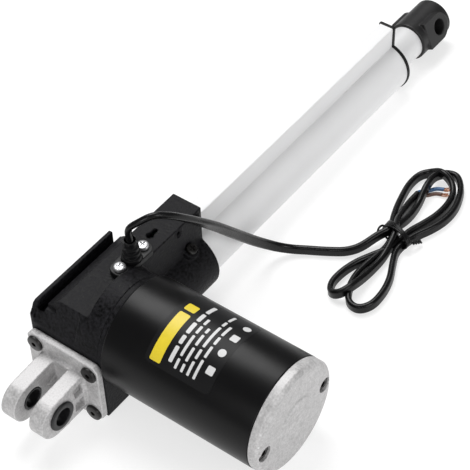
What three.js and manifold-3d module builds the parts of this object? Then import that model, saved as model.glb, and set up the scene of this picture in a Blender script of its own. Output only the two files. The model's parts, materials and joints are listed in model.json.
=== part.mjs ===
// Linear actuator: a DC motor drives a worm, the worm wheel turns a screw
// spindle, and the spindle pushes a rod out of a fixed outer tube.
// Millimetres, +Z up. Inside `body`, X runs along the spindle from the middle
// of the clevis eyes, the motor points to -Y. `body` is tipped as it lies.
import * as THREE from "three";
import { mergeVertices } from "three/addons/utils/BufferGeometryUtils.js";
import Module from "manifold-3d";

const wasm = await Module();
wasm.setup();
const { Manifold, Mesh: ManifoldMesh } = wasm;

// ---------------------------------------------------------------- dimensions
const STROKE = 200;
const ROD_HOLE_X = STROKE + 165; // rod in
const PIN_HOLE = 10.2;

const TILT_X = 7.66; // degrees, as it lies: block edge, motor end and end cap touch the table
const TILT_Y = 1.49;

const PLATE_X = 22.2; // rear face of the clevis plate
const PLATE_T = 4;
const BLOCK = { x0: 26.25, x1: 90, y: 23.4, z0: -20.4, z1: 20 };
const STRIP = { x0: 33.8, x1: 126.7, y: 9.2, z: 41.2 }; // raised switch box
const SOCKET_R = 20.3;
const MOTOR = { x: 54.6, z: 22, r: 30.6, y0: -23.9, y1: -114.2, cap: 6.5 };
const TUBE = { r: 16.65, bore: 14.2, x0: 84, x1: 320.2, keyY: 4.67, keyZ: 30 };
const CAP = { x1: 322.2, lip: 0.7 };
const ROD = { r: 11, bore: 8.6, x0: 104, x1: 346.45 };
const SPINDLE_R = 7; // over the thread, 3 mm lead
const WHEEL_TEETH = 32;

// ------------------------------------------------------------------- helpers
// A closed solid from a three.js geometry, with its faces turned outwards.
function solid(geometry) {
  const g = geometry.clone();
  g.deleteAttribute("normal");
  g.deleteAttribute("uv");
  const merged = mergeVertices(g, 1e-4);
  const pos = merged.attributes.position.array;
  const index = merged.index.array;
  const tris = [];
  let volume = 0;
  for (let i = 0; i < index.length; i += 3) {
    const [a, b, c] = [index[i], index[i + 1], index[i + 2]];
    if (a === b || b === c || a === c) continue;
    tris.push(a, b, c);
    const p = (k) => new THREE.Vector3().fromArray(pos, 3 * k);
    volume += p(a).dot(p(b).cross(p(c)));
  }
  if (volume < 0) {
    for (let i = 0; i < tris.length; i += 3) {
      [tris[i + 1], tris[i + 2]] = [tris[i + 2], tris[i + 1]];
    }
  }
  return new Manifold(new ManifoldMesh({
    numProp: 3,
    vertProperties: new Float32Array(pos),
    triVerts: new Uint32Array(tris),
  }));
}

const add = (...parts) => parts.reduce((a, b) => a.add(b));
const cut = (base, ...tools) => tools.reduce((a, b) => a.subtract(b), base);

function box(x0, x1, y0, y1, z0, z1) {
  const g = new THREE.BoxGeometry(x1 - x0, y1 - y0, z1 - z0);
  return solid(g.translate((x0 + x1) / 2, (y0 + y1) / 2, (z0 + z1) / 2));
}

// Cylinders along each axis; (u, v) is the centre in the other two.
function cylX(x0, x1, r, y = 0, z = 0, n = 40) {
  const g = new THREE.CylinderGeometry(r, r, x1 - x0, n).rotateZ(-Math.PI / 2);
  return solid(g.translate((x0 + x1) / 2, y, z));
}
function cylY(y0, y1, r, x = 0, z = 0, n = 40) {
  const g = new THREE.CylinderGeometry(r, r, y1 - y0, n);
  return solid(g.translate(x, (y0 + y1) / 2, z));
}
function cylZ(z0, z1, r, x = 0, y = 0, n = 24) {
  const g = new THREE.CylinderGeometry(r, r, z1 - z0, n).rotateX(Math.PI / 2);
  return solid(g.translate(x, y, (z0 + z1) / 2));
}

// A ring or turned piece about the X axis from (x, radius) points.
function turnX(points, n = 40) {
  const profile = points.map(([x, r]) => new THREE.Vector2(r, x));
  return solid(new THREE.LatheGeometry(profile, n).rotateZ(-Math.PI / 2));
}
// The same about the motor axis, from (distance towards the motor end, radius).
function turnMotor(points, n = 40) {
  const profile = points.map(([m, r]) => new THREE.Vector2(r, m));
  const g = new THREE.LatheGeometry(profile, n).rotateX(Math.PI);
  return solid(g.translate(MOTOR.x, 0, MOTOR.z));
}

// Prisms: along X from (y, z) points, along Y from (x, z), along Z from (x, y).
function extrude(points, depth, curve) {
  const shape = new THREE.Shape(points.map(([u, v]) => new THREE.Vector2(u, v)));
  return new THREE.ExtrudeGeometry(shape, { depth, bevelEnabled: false, ...curve });
}
function prismX(x0, x1, yz) {
  const turn = new THREE.Matrix4().set(0, 0, 1, x0, 1, 0, 0, 0, 0, 1, 0, 0, 0, 0, 0, 1);
  return solid(extrude(yz, x1 - x0).applyMatrix4(turn));
}
function prismY(y0, y1, xz) {
  const turn = new THREE.Matrix4().set(1, 0, 0, 0, 0, 0, -1, y1, 0, 1, 0, 0, 0, 0, 0, 1);
  return solid(extrude(xz, y1 - y0).applyMatrix4(turn));
}
function prismZ(z0, z1, xy) {
  return solid(extrude(xy, z1 - z0).translate(0, 0, z0));
}

const body = new THREE.Group();
body.name = "body";
body.rotation.set(THREE.MathUtils.degToRad(TILT_X), THREE.MathUtils.degToRad(TILT_Y), 0);
const actuator = new THREE.Group();
actuator.name = "linear_actuator";
actuator.add(body);

const PAINT = { black: [0x17181a, 0.1, 0.45], alloy: [0xa9abad, 0.85, 0.42],
  anodised: [0xd9dadb, 0.6, 0.38], steel: [0xb9bbbd, 1, 0.25], zinc: [0xcfd1d4, 1, 0.3],
  blackScrew: [0x1b1b1c, 0.6, 0.4], plastic: [0x1a1b1c, 0, 0.55], bronze: [0xa9793c, 0.9, 0.35],
  nylon: [0xe6e2d6, 0, 0.5], copper: [0xb06a3b, 0.95, 0.35], magnet: [0x3a3a3d, 0.2, 0.6],
  green: [0x1f5a35, 0, 0.5], blue: [0x1c4fa0, 0, 0.45], brown: [0x5a3520, 0, 0.45],
  carbon: [0x2b2b2d, 0.1, 0.7], lamination: [0x77797c, 0.8, 0.45] };

function put(name, shape, paint, group = body) {
  const mesh = shape.getMesh();
  const g = new THREE.BufferGeometry();
  g.setAttribute("position", new THREE.BufferAttribute(new Float32Array(mesh.vertProperties), 3));
  g.setIndex(new THREE.BufferAttribute(new Uint32Array(mesh.triVerts), 1));
  g.computeVertexNormals();
  const [color, metalness, roughness] = PAINT[paint];
  const m = new THREE.Mesh(g, new THREE.MeshStandardMaterial({ color, metalness, roughness }));
  m.name = name;
  group.add(m);
  return m;
}

// --------------------------------------------------------------- rear clevis
// Two eyes on a square plate, their bushed pin hole just ahead of the eyes' middle.
const EAR = { gap: 4.8, out: 13.8, r: 11.3, z: -1.9, hole: 3, flange: 1.4, flangeR: 8.2 };
function ear(side) {
  const [y0, y1] = side > 0 ? [EAR.gap, EAR.out] : [-EAR.out, -EAR.gap];
  const web = prismY(y0, y1, [[0, -EAR.r], [PLATE_X + 0.5, -13], [PLATE_X + 0.5, 13], [0, EAR.r]]);
  const eye = cylY(y0, y1, EAR.r, 0, 0, 40);
  // shallow pockets between the ribs on the outer side
  const [p0, p1] = side > 0 ? [EAR.out - 3, EAR.out + 1] : [-EAR.out - 1, -EAR.out + 3];
  const end = PLATE_X - 1.5;
  const lowerPocket = prismY(p0, p1, [[13.4, -8.2], [end, -9.6], [end, -1.3], [14.4, -1.3]]);
  const upperPocket = prismY(p0, p1, [[13.4, 8.2], [14.4, 1.3], [end, 1.3], [end, 9.6]]);
  const bore = cylY(y0 - 1, y1 + 1, 6.45, EAR.hole, 0, 32);
  return cut(add(web, eye), lowerPocket, upperPocket, bore).translate([0, 0, EAR.z]);
}
const PLATE = { y: 23.2, z: 20.4 };
const SCREW = { y: 17.8, top: 14.2, bottom: -16.2 };
const screwSpots = [SCREW.top, SCREW.bottom].flatMap((z) => [[-SCREW.y, z], [SCREW.y, z]]);
const plate = prismX(PLATE_X, PLATE_X + PLATE_T, [
  [-PLATE.y + 2.5, -PLATE.z], [PLATE.y - 2.5, -PLATE.z], [PLATE.y, -PLATE.z + 2.5],
  [PLATE.y, PLATE.z - 2.5], [PLATE.y - 2.5, PLATE.z], [-PLATE.y + 2.5, PLATE.z],
  [-PLATE.y, PLATE.z - 2.5], [-PLATE.y, -PLATE.z + 2.5]]);
const ringBoss = cylX(PLATE_X - 1.6, PLATE_X + 1, 13.6, 0, EAR.z);
put("rear_clevis", cut(add(plate, ringBoss, ear(1), ear(-1)),
  ...screwSpots.map(([y, z]) => cylX(PLATE_X - 1, PLATE_X + PLATE_T + 1, 2.75, y, z, 16)),
  ...screwSpots.map(([y, z]) => cylX(PLATE_X - 14, PLATE_X, 5.2, y, z, 24))), "alloy");
for (const [name, s] of [["clevis_bush_left", 1], ["clevis_bush_right", -1]]) {
  const a = EAR.gap - 0.02, b = EAR.out + 0.05, c = EAR.out + EAR.flange;
  const side = (y0, y1, r) => cylY(Math.min(s * y0, s * y1), Math.max(s * y0, s * y1), r,
    EAR.hole, EAR.z, 32);
  put(name, cut(add(side(a, b + 0.5, 6.4), side(b, c, EAR.flangeR)), side(a - 1, c + 1, PIN_HOLE / 2)),
    "blackScrew");
}
screwSpots.forEach(([y, z], i) => {
  const head = cylX(PLATE_X - 3.1, PLATE_X - 0.05, 4.7, y, z, 24);
  const shank = cylX(PLATE_X - 0.5, PLATE_X + 13.5, 2.4, y, z, 16);
  const hex = cylX(PLATE_X - 3.6, PLATE_X - 1.3, 1.7, y, z, 6);
  put(`clevis_screw_${i + 1}`, cut(add(head, shank), hex), "blackScrew");
});

// -------------------------------------------------------------- gear housing
// One casting: gear block, raised switch box, cable wall, neck and tube socket.
const G = 0.05;
const B = BLOCK, S = STRIP;
const NECK = { r: 28.2, y0: -20.6, y1: -10.3 };
const lower = prismX(B.x0, B.x1, [[-B.y, B.z0], [B.y, B.z0], [B.y, 20], [-B.y, 20]]);
const slant = [[B.x0, 19], [B.x1, 19]];
const shoulder = add(
  prismY(-S.y, 20.9, [...slant, [B.x1, 33.6], [S.x0 - 3.2, 33.6], [B.x0, 24.5]]),
  prismY(-B.y, -S.y + 1, [[B.x0, 19], [48, 19], [48, 36.5], [33.2, 36.5], [B.x0, 24.5]]));
const strip = prismY(-S.y, S.y, [[B.x0, 0], [S.x1, 0], [S.x1, S.z], [S.x0, S.z], [B.x0, 24.5]]);
const ridge = prismY(20.8, B.y, [...slant, [B.x1, 36], [31.4, 36], [29.6, 34.5], [28.2, 31.5],
  [B.x0, 29.4]]);
const slope = prismX(S.x0 - 1, B.x1, [[S.y - 1, 33], [16, 33], [16, 35.6], [S.y - 1, S.z]]);
const neckRoot = cylY(NECK.y1 - 1, -S.y + 3, NECK.r, MOTOR.x, MOTOR.z, 56);
const neck = add(cylY(NECK.y0, NECK.y1, NECK.r, MOTOR.x, MOTOR.z, 56),
  neckRoot.intersect(box(0, 200, -50, 0, -50, S.z)));
const socket = cylX(B.x1 - 5, S.x1 - 0.4, SOCKET_R, 0, 0, 48);
// Set screws that hold the tube: radial bosses on the socket's shoulders.
const LUG = { x: 114.5, angle: 62, from: 17, to: 23 };
function radial(side, r0, r1, r, n) {
  return cylZ(r0, r1, r, LUG.x, 0, n).rotate([side * (90 - LUG.angle), 0, 0]);
}
const dimple = (x, z) => cylY(-S.y - 1, -S.y + 0.8, 2.6, x, z, 20)
  .subtract(cylY(-S.y - 2, -S.y + 2, 1.5, x, z, 16));
const GLAND = { x: 75.5, y: -4.5, r: 5.2, topR: 3.9, top: 58, screws: [66.3, 84.7], screwY: -4.3 };
let gearHousing = add(cut(add(lower, shoulder, slope), box(S.x0 - 4, B.x1 + 1, 16.1, 20.85, 27, 50)),
  strip, ridge, neck, socket, ...[1, -1].map((s) => radial(s, LUG.from, LUG.to, 4.7, 24)));
gearHousing = cut(gearHousing,
  cylX(B.x0 - 1, 66, 17.6, 0, 0, 48), // wheel chamber, open to the rear
  cylX(65, 76.1, 13.05, 0, 0, 40), // front bearing seat
  cylX(76, TUBE.x0 + 1, 12.2, 0, 0, 40),
  cylX(TUBE.x0, S.x1 + 1, TUBE.r + 0.1, 0, 0, 48), // tube socket and its key way
  box(TUBE.x0, S.x1 + 1, -TUBE.keyY - 0.1, TUBE.keyY + 0.1, 0, TUBE.keyZ + 0.1),
  cylY(NECK.y0 - 2, 14.2, 7.4, MOTOR.x, MOTOR.z, 32), // worm tunnel
  cylY(-22, -18.6, 8.2, MOTOR.x, MOTOR.z, 32), // bearing seat
  cylY(-40, NECK.y0, NECK.r + 0.1, MOTOR.x, MOTOR.z, 56), // motor flange register
  box(38, 112, -6.9, 6.9, 30.6, S.z - 2.2), // switch box
  cylZ(S.z - 5, S.z + 5, 3.6, GLAND.x, GLAND.y, 20),
  ...GLAND.screws.map((x) => cylZ(S.z - 2.6, S.z + 5, 1.8, x, GLAND.screwY, 12)),
  ...screwSpots.map(([y, z]) => cylX(B.x0 - 1, PLATE_X + 14.5, 2.7, y, z, 16)),
  box(95.6, 101, -1.1, 1.1, S.z - 0.8, S.z + 1), cylZ(S.z - 0.8, S.z + 1, 1.9, 95.4, 0, 16),
  ...[1, -1].map((s) => radial(s, LUG.to - 3.5, LUG.to + 2, 1.6, 12)),
  ...[1, -1].map((s) => radial(s, LUG.to, LUG.to + 9, 3.7, 24)), // room for the screw heads
  dimple(107.4, 37.4), dimple(122, 37.8));
put("gear_housing", gearHousing, "black");
put("motor_flange", cut(cylY(MOTOR.y0 + G, NECK.y0 - G, NECK.r, MOTOR.x, MOTOR.z, 56),
  cylY(MOTOR.y0 - 1, -10, 8.2, MOTOR.x, MOTOR.z, 32)), "black");
put("rear_bearing_carrier", cut(cylX(B.x0 + G, 44.4, 17.5, 0, 0, 48),
  cylX(34.3, 45, 13.1, 0, 0, 40), cylX(20, 35, 9, 0, 0, 32)), "alloy");
for (const [name, s] of [["socket_screw_left", -1], ["socket_screw_right", 1]]) {
  const head = radial(s, LUG.to + G, LUG.to + 2.2, 3.1, 20);
  const shank = radial(s, LUG.to - 3, LUG.to + 1, 1.4, 12);
  put(name, cut(add(head, shank), radial(s, LUG.to + 1.2, LUG.to + 3, 1.3, 6)), "blackScrew");
}

// ---------------------------------------------------------------------- tube
const T = TUBE;
const keyShape = [[-T.keyY, 0], [T.keyY, 0], [T.keyY, T.keyZ], [-T.keyY, T.keyZ]];
const keyHole = [[-T.keyY + 1.5, T.r - 0.6], [T.keyY - 1.5, T.r - 0.6],
  [T.keyY - 1.5, T.keyZ - 1.6], [-T.keyY + 1.5, T.keyZ - 1.6]];
put("outer_tube", cut(add(cylX(T.x0, T.x1, T.r, 0, 0, 48), prismX(T.x0, T.x1, keyShape)),
  cylX(T.x0 - 1, T.x1 + 1, T.bore, 0, 0, 48), prismX(T.x0 - 1, T.x1 + 1, keyHole)), "anodised");
const capKey = [[-5.4, 0], [5.4, 0], [5.4, T.keyZ + CAP.lip - 0.3], [-5.4, T.keyZ + CAP.lip - 0.3]];
put("end_cap", cut(add(cylX(T.x1 + G, CAP.x1, T.r + CAP.lip, 0, 0, 48),
  prismX(T.x1 + G, CAP.x1, capKey), cylX(T.x1 - 12, T.x1 + 1, T.bore - 0.1, 0, 0, 40)),
  cylX(T.x1 - 13, CAP.x1 + 1, 12.6, 0, 0, 40)), "black");
put("rod_guide", turnX([[309.5, ROD.r + 0.12], [318.4, ROD.r + 0.12], [318.4, 12.5], [309.5, 12.5],
  [309.5, ROD.r + 0.12]]), "bronze");
put("wiper_seal", turnX([[318.5, ROD.r + 0.12], [323, ROD.r + 0.12], [322.6, 11.9], [321.8, 12.5],
  [318.5, 12.5], [318.5, ROD.r + 0.12]]), "plastic");

// ----------------------------------------------------------------- rod group
put("rod_tube", turnX([[ROD.x0, ROD.bore], [ROD.x1, ROD.bore], [ROD.x1, ROD.r], [ROD.x0, ROD.r],
  [ROD.x0, ROD.bore]], 48), "steel");
const nutBore = SPINDLE_R + 0.35;
put("drive_nut", turnX([[92.5, nutBore], [118, nutBore], [118, ROD.bore - 0.05],
  [103.9, ROD.bore - 0.05], [103.9, 13.8], [92.5, 13.8], [92.5, nutBore]], 40), "nylon");
// The rod's end piece: a round body with a raised pad round each mouth of its cross hole.
const END = { x0: ROD.x1 + 0.05, x1: 378, r: 12.6, turn: -24.7 };
const PAD = { x0: 352, half: 9, face: 12.7 };
const across = (shape) => shape.rotate([END.turn, 0, 0]);
const endBody = turnX([[332, 0], [332, ROD.bore - 0.1], [END.x0, ROD.bore - 0.1], [END.x0, END.r],
  [END.x1 - 2, END.r], [END.x1, END.r - 2], [END.x1, 0]], 40);
const arch = [[PAD.x0, PAD.half], [PAD.x0, -PAD.half]];
for (let i = 0; i <= 20; i++) {
  const a = (i / 20 - 0.5) * Math.PI;
  arch.push([ROD_HOLE_X + PAD.half * Math.cos(a), PAD.half * Math.sin(a)]);
}
const pads = prismY(-PAD.face, PAD.face, arch);
const endHole = cylY(-20, 20, PIN_HOLE / 2, ROD_HOLE_X, 0, 32);
put("rod_end", cut(add(endBody, across(pads)), across(endHole)), "black");

// ------------------------------------------------------------------- spindle
put("spindle", turnX([[32.5, 0], [32.5, 6], [46.5, 6], [46.5, 7.5], [61.5, 7.5], [61.5, 6], [84.5, 6],
  [84.5, SPINDLE_R], [314, SPINDLE_R], [315, 6], [315, 0]], 32), "steel");
const toothed = [];
for (let i = 0; i < WHEEL_TEETH * 4; i++) {
  const a = (i / (WHEEL_TEETH * 4)) * 2 * Math.PI;
  const r = i % 4 < 2 ? 15.4 : 13.4;
  toothed.push([r * Math.cos(a), r * Math.sin(a)]);
}
put("worm_wheel", cut(prismX(48.5, 60.7, toothed), cylX(47, 62, 7.6, 0, 0, 32)), "nylon");
for (const [name, x0, x1] of [["bearing_rear", 34.5, 44.2], ["bearing_front", 66.1, 76]]) {
  put(name, turnX([[x0, 6.1], [x1, 6.1], [x1, 13], [x0, 13], [x0, 6.1]], 32), "steel");
}
put("spindle_stop", turnX([[315.1, 0], [315.1, 6.9], [318.2, 6.9], [318.2, 0]], 24), "blackScrew");

// --------------------------------------------------------------------- motor
const M0 = -MOTOR.y0, M1 = -MOTOR.y1, M2 = M1 + MOTOR.cap;
const wall = MOTOR.r - 2;
put("motor_can", turnMotor([[M0 + G, 11.3], [M0 + G, MOTOR.r], [M1 - G, MOTOR.r], [M1 - G, wall],
  [M0 + 2.5, wall], [M0 + 2.5, 11.3], [M0 + G, 11.3]], 64), "black");
const rim = (a) => [MOTOR.x + 24.6 * Math.cos(a), MOTOR.z + 24.6 * Math.sin(a)];
const bolts = [rim(0.03), rim(Math.PI + 0.03)];
let endCap = turnMotor([[M1, 0], [M1, MOTOR.r - 0.1], [M2 - 2, MOTOR.r - 0.1],
  [M2, MOTOR.r - 2.4], [M2, 0]], 64);
endCap = add(endCap, cylY(-M2 - 0.9, -M2 + 0.5, 12.4, MOTOR.x, MOTOR.z, 40));
endCap = cut(endCap, cylY(-M1 - 3.4, -M1 + 1, 5.6, MOTOR.x, MOTOR.z, 24),
  ...bolts.flatMap(([x, z]) => [cylY(-M2 - 2, -M1 - 2.4, 4.3, x, z, 24),
    cylY(-M2, -M1 + 1, 2.3, x, z, 16)]));
put("motor_end_cap", endCap, "alloy");
bolts.forEach(([x, z], i) => {
  const head = cylY(-M2 + 1.2, -M1 - 2.45, 3.9, x, z, 24);
  const shank = cylY(-M1 - 3, -M0 - 4, 2, x, z, 12);
  put(`motor_bolt_${i + 1}`, cut(add(head, shank), cylY(-M2, -M2 + 2.6, 1.6, x, z, 6)),
    "blackScrew");
});
for (const [name, s] of [["magnet_upper", 1], ["magnet_lower", -1]]) {
  const ring = cut(cylY(-M1 + 24, -M0 - 6, MOTOR.r - 2.2, MOTOR.x, MOTOR.z, 48),
    cylY(-M1 + 20, -M0 - 2, 22.4, MOTOR.x, MOTOR.z, 48));
  const [z0, z1] = s > 0 ? [MOTOR.z + 9, 100] : [-100, MOTOR.z - 9];
  put(name, ring.intersect(box(0, 200, -200, 0, z0, z1)), "magnet");
}
// A square-section ring about the motor axis.
const ringMotor = (m0, m1, r0, r1, n) => turnMotor([[m0, r0], [m0, r1], [m1, r1], [m1, r0], [m0, r0]], n);
put("brush_card", ringMotor(M1 - 11, M1 - 8.6, 13.2, 21, 32), "brown");
for (const [name, s] of [["brush_upper", 1], ["brush_lower", -1]]) {
  const z = (v) => MOTOR.z + s * v;
  const [a, b] = s > 0 ? [z(9.2), z(20)] : [z(20), z(9.2)];
  put(name, box(MOTOR.x - 3.4, MOTOR.x + 3.4, -M1 + 11.2, -M1 + 17.2, a, b), "carbon");
}
put("rotor_bearing_front", ringMotor(18.95, 23.7, 3.1, 8.1, 32), "steel");
put("rotor_bearing_end", ringMotor(M1 - 2.2, M1 + 3.3, 3.1, 5.5, 24), "bronze");
// worm shaft: a single thread shown as rings, inside the worm tunnel
const worm = [[-13.5, 0], [-13.5, 3], [-11, 3]];
for (let m = -11; m < 10.9; m += 3.14) {
  worm.push([m, 4.3], [m + 0.7, 6.1], [m + 1.6, 6.1], [m + 2.3, 4.3]);
}
worm.push([11, 3], [M1 + 3, 3], [M1 + 3, 0]);
put("rotor_shaft", turnMotor(worm, 28), "steel");
put("armature", turnMotor([[M0 + 12, 3.05], [M0 + 12, 14], [M0 + 16, 21.6], [M1 - 30, 21.6], [M1 - 26, 14],
  [M1 - 24, 3.05], [M0 + 12, 3.05]], 36), "lamination");
put("commutator", ringMotor(M1 - 20, M1 - 9.6, 3.05, 9, 32), "copper");

// --------------------------------------------------------- switches and gland
put("switch_board", box(40, 110, -6, 6, 31.4, 32.8), "green");
put("limit_switch_in", box(84.5, 97, -3.2, 3.2, 32.85, 38.2), "plastic");
put("limit_switch_out", box(46, 58.5, -3.2, 3.2, 32.85, 38.2), "plastic");
const lozenge = [];
for (let i = 0; i < 24; i++) {
  const a = (i / 24) * 2 * Math.PI;
  const middle = GLAND.x + Math.sign(Math.cos(a)) * 9.2;
  lozenge.push([middle + 4.6 * Math.cos(a), GLAND.y + 0.2 + 5.6 * Math.sin(a)]);
}
put("gland_plate", cut(prismZ(S.z + G, S.z + 3.3, lozenge),
  cylZ(S.z - 1, S.z + 5, GLAND.r + G, GLAND.x, GLAND.y, 24),
  ...GLAND.screws.map((x) => cylZ(S.z - 1, S.z + 5, 1.8, x, GLAND.screwY, 12))), "plastic");
const sleeveTaper = solid(new THREE.CylinderGeometry(GLAND.topR, GLAND.r, GLAND.top - S.z - 3.4, 24)
  .rotateX(Math.PI / 2).translate(GLAND.x, GLAND.y, (GLAND.top + S.z + 3.4) / 2));
put("gland_sleeve", cut(add(cylZ(S.z + G, S.z + 4, GLAND.r, GLAND.x, GLAND.y, 24), sleeveTaper),
  cylZ(S.z - 1, GLAND.top + 1, 3, GLAND.x, GLAND.y, 20)), "plastic");
GLAND.screws.forEach((x, i) => {
  const y = GLAND.screwY;
  put(`gland_screw_${i + 1}`, cut(add(cylZ(S.z + 3.35, S.z + 5.6, 3.2, x, y, 20),
    cylZ(S.z - 2.2, S.z + 4, 1.5, x, y, 12)), box(x - 2, x + 2, y - 0.4, y + 0.4, S.z + 4.9, S.z + 6)),
    "zinc");
});

// Lie it on the table: bottom centre of all but the cord at the origin.
actuator.updateMatrixWorld(true);
const bounds = new THREE.Box3().setFromObject(body, true);
const middle = bounds.getCenter(new THREE.Vector3());
body.position.set(-middle.x, -middle.y, -bounds.min.z);
actuator.updateMatrixWorld(true);

// ---------------------------------------------------------------------- cord
// Two-core cable from the gland over the side to the table, then a tied hank.
const CORD = { r: 2.4, gap: 0.3, hankTop: 8.2 };
const out = new THREE.Vector3(0, 0, 1).transformDirection(body.matrixWorld);
const exit = body.localToWorld(new THREE.Vector3(GLAND.x, GLAND.y, GLAND.top + CORD.gap));
const route = [exit, exit.clone().addScaledVector(out, 7), ...[
  [-103, 31, 93], [-98, 26, 95], [-91, 22, 91], [-82, 20, 82.5], [-72, 20, 71.5], [-61, 21.5, 58.5],
  [-51, 23, 46], [-41, 24.5, 33.5], [-32, 25, 22.5], [-24, 24, 13], [-18, 21, 6.5], [-13, 15.5, 3.4],
  [-9, 8.5, 2.6], [-6, 1.5, 2.6], [-3, -5, 2.6], [0, -10.5, 2.6], [4.5, -15, 2.6], [9, -18, 2.6],
].map((p) => new THREE.Vector3(...p))];
const section = [];
for (let i = 0; i < 8; i++) {
  const a = ((i + 0.5) / 8) * 2 * Math.PI;
  section.push([CORD.r * Math.cos(a), CORD.r * Math.sin(a)]);
}
const tube = (points, steps) => ({ extrudePath: new THREE.CatmullRomCurve3(points), steps });
put("cord", solid(extrude(section, 1, tube(route, 44))), "plastic", actuator);

// The hank lies flat: a round loop at each end of a narrow, tied waist.
function capsule(a, ra, b, rb, n = 16) {
  const along = Math.atan2(b[1] - a[1], b[0] - a[0]);
  const lean = Math.acos((ra - rb) / Math.hypot(b[0] - a[0], b[1] - a[1]));
  const ring = [];
  for (let i = 0; i <= n; i++) {
    const t = along - lean + (2 * lean * i) / n;
    ring.push([b[0] + rb * Math.cos(t), b[1] + rb * Math.sin(t)]);
  }
  for (let i = 0; i <= n; i++) {
    const t = along + lean + ((2 * Math.PI - 2 * lean) * i) / n;
    ring.push([a[0] + ra * Math.cos(t), a[1] + ra * Math.sin(t)]);
  }
  return ring;
}
const flat = (outline) => prismZ(0.1, CORD.hankTop, outline);
put("cord_hank", add(flat(capsule([14, -30], 6.5, [-16, -34], 17)),
  flat(capsule([32, -29], 6.5, [62, -30], 19.5)), flat(capsule([12, -30], 5.5, [34, -29], 5.5))),
  "plastic", actuator);
const TIE = { x0: 20, x1: 24.5, y0: -37, y1: -21.5, top: 10 };
put("cord_tie", cut(box(TIE.x0, TIE.x1, TIE.y0, TIE.y1, 0.1, TIE.top),
  box(TIE.x0 - 1, TIE.x1 + 1, TIE.y0 + 1.6, TIE.y1 - 1.6, -1, CORD.hankTop + 0.3)),
  "plastic", actuator);
// Each core leaves the sheath inside the upper loop.
const WIRE_Z = CORD.hankTop + 1.2;
for (const [name, side] of [["wire_blue", 1], ["wire_brown", -1]]) {
  const points = [[58, -22.5 + 1.2 * side], [64, -24.5 + 2.2 * side], [68 + 1.5 * side, -29 + 1.5 * side],
    [69 + 2.5 * side, -37]].map(([x, y]) => new THREE.Vector3(x, y, WIRE_Z));
  const core = section.map(([u, v]) => [u * 0.33, v * 0.33]);
  put(name, solid(extrude(core, 1, tube(points, 10))), side > 0 ? "blue" : "brown", actuator);
}

export default actuator;
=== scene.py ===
# The visual model of the linear actuator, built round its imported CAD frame.
# New pieces are made in body millimetres and moved to the frame's metres when they
# are finished. X runs along the spindle's axis from 3 mm behind the clevis pin, Z is
# up from that axis, and the motor lies towards -Y.
import json
import math
import random

import bmesh
import bpy
from mathutils import Matrix, Vector


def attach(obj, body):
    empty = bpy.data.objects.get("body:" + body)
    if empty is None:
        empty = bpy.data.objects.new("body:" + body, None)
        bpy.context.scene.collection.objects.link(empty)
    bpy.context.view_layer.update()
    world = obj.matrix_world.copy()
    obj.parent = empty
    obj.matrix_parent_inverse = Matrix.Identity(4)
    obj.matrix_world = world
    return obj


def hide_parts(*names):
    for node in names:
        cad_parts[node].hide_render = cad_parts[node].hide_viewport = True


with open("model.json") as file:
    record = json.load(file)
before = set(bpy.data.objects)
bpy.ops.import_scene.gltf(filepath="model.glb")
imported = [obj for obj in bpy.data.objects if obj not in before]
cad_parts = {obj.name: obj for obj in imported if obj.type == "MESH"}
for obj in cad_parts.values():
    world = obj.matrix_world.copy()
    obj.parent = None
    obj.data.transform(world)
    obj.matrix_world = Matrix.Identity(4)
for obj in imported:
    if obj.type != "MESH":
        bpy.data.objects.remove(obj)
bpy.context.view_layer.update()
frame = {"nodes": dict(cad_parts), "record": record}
rng = random.Random(7)  # only the copper strands draw from it

# ------------------------------------------------------------------ the frame
record = frame["record"]
joints = {j["name"]: j for j in record["behaviour"]["joints"]}
mounts = {m["name"]: m for m in record["mounts"]}
MM = 0.001
METRES = Matrix.Scale(MM, 4)
EAR_MOUNT = Vector((9.6, 0, -1.9))  # midway between the ear mounts, in body millimetres

AX = Vector(joints["rod_slide"]["axis"]).normalized()
AY = -Vector(joints["rotor_spin"]["axis"]).normalized()
AZ = AX.cross(AY).normalized()
EARS = (Vector(mounts["rear_ear_left"]["pos_m"]) + Vector(mounts["rear_ear_right"]["pos_m"])) / 2
ORIGIN = EARS - (AX * EAR_MOUNT.x + AZ * EAR_MOUNT.z) * MM
BODY = Matrix.Translation(ORIGIN) @ Matrix((AX, AY, AZ)).transposed().to_4x4() @ METRES
TURN_BACK = Matrix((AX, AY, AZ)).to_euler()

# Sizes and places, in body millimetres. A key that ends in r is a radius, and so is a bore;
# a hole is a place in X.
HAIR = 0.02  # keeps two faces that meet from lying in one plane
GAP = 0.05  # the play between two pieces that are screwed or pressed together
VOXEL = {"alloy": 0.36, "case": 0.45, "rod_end": 0.3}  # the fineness of each casting's skin
PIN_R = 5.1
EAR = {"gap": 4.8, "out": 13.8, "z": -1.9, "hole": 3.0}
BUSH = {"r": 6.4, "flange_r": 8.2, "seat": 13.85, "end": 15.3}
PLATE_X = 22.2
CLEVIS_SCREWS = [(-17.8, 14.2), (17.8, 14.2), (-17.8, -16.2), (17.8, -16.2)]
RIB = {"x0": 12.0, "half": 1.5, "proud": 0.4, "root": 2.0}
WEB = {"long": 8.0, "half": 3.4, "thick": 1.0}
RING = {"bore": 10.5, "crest_r": (11.6, 12.4, 14.4), "r": 15.2, "high": 2.3, "shoulder": 2.0}
WELL = {"r": 5.2, "from": -14, "to": 2}  # keeps the ring clear of the screws' heads

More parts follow.
